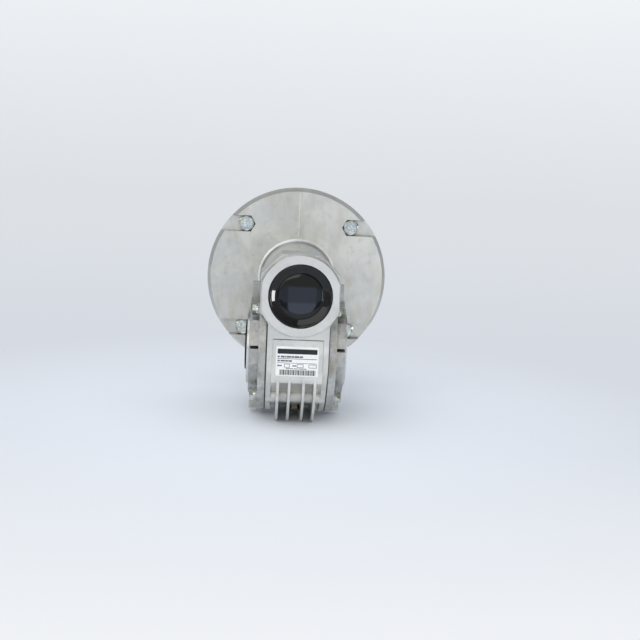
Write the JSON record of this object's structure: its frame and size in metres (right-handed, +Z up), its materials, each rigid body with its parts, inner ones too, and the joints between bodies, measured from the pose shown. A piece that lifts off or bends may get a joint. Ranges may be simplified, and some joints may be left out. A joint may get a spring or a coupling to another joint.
{
  "type": "worm gearbox",
  "caption": "Worm gearbox with a cast aluminium case, hollow output shaft with side covers, and a round motor flange with captive bolts.",
  "frame": {"origin": "middle of the output shaft's bore", "axes": "+X along the output shaft, +Y along the worm towards the motor, +Z up from the output shaft to the worm"},
  "size_m": [0.2, 0.205, 0.2345],
  "materials": {
    "gear_case": "matt cast",
    "motor_flange": "matt cast",
    "cover": "matt cast",
    "zinc_bolt": "bright zinc",
    "zinc_washer": "bright zinc",
    "motor_bolt": "bright zinc",
    "flange_screw": "black oxide",
    "oil_plug": "dull yellow zinc",
    "bearing_ring": "ground",
    "oil_seal": "matt",
    "end_cap": "gloss black",
    "dust_cap": "satin black",
    "output_shaft": "turned",
    "worm_steel": "ground",
    "bronze_rim": "machined bronze",
    "spring_steel": "phosphated",
    "pin_steel": "ground"
  },
  "bodies": {
    "housing": {"gear_case": "gear_case", "drain_plug": "oil_plug", "level_plug": "oil_plug", "left_cover": "cover", "right_cover": "cover", "left_cover_bolts": "zinc_bolt", "right_cover_bolts": "zinc_bolt", "left_cover_washers": "zinc_washer", "right_cover_washers": "zinc_washer", "left_bearing_outer_ring": "bearing_ring", "right_bearing_outer_ring": "bearing_ring", "left_oil_seal": "oil_seal", "right_oil_seal": "oil_seal", "front_bearing_outer_ring": "bearing_ring", "rear_bearing_outer_ring": "bearing_ring", "case_retaining_ring": "spring_steel", "input_oil_seal": "oil_seal", "worm_end_cap": "end_cap", "output_dust_cap": "dust_cap", "motor_flange": "motor_flange", "flange_screws": "flange_screw", "motor_bolts": "motor_bolt"},
    "worm": {"worm_shaft": "worm_steel", "front_bearing_inner_ring": "bearing_ring", "rear_bearing_inner_ring": "bearing_ring", "worm_retaining_ring": "spring_steel"},
    "wheel": {"output_shaft": "output_shaft", "wheel_rim": "bronze_rim", "rim_pins": "pin_steel", "left_bearing_inner_ring": "bearing_ring", "right_bearing_inner_ring": "bearing_ring"}
  },
  "joints": [
    {"name": "wheel_spin", "type": "hinge", "parent": "housing", "child": "wheel", "pos_m": [0, 0, 0], "axis": [1, 0, 0], "continuous": true},
    {"name": "worm_spin", "type": "hinge", "parent": "housing", "child": "worm", "pos_m": [0, 0, 0.0625], "axis": [0, 1, 0], "continuous": true}
  ],
  "couplings": [
    {"joint": "worm_spin", "follows": "wheel_spin", "ratio": 20}
  ]
}
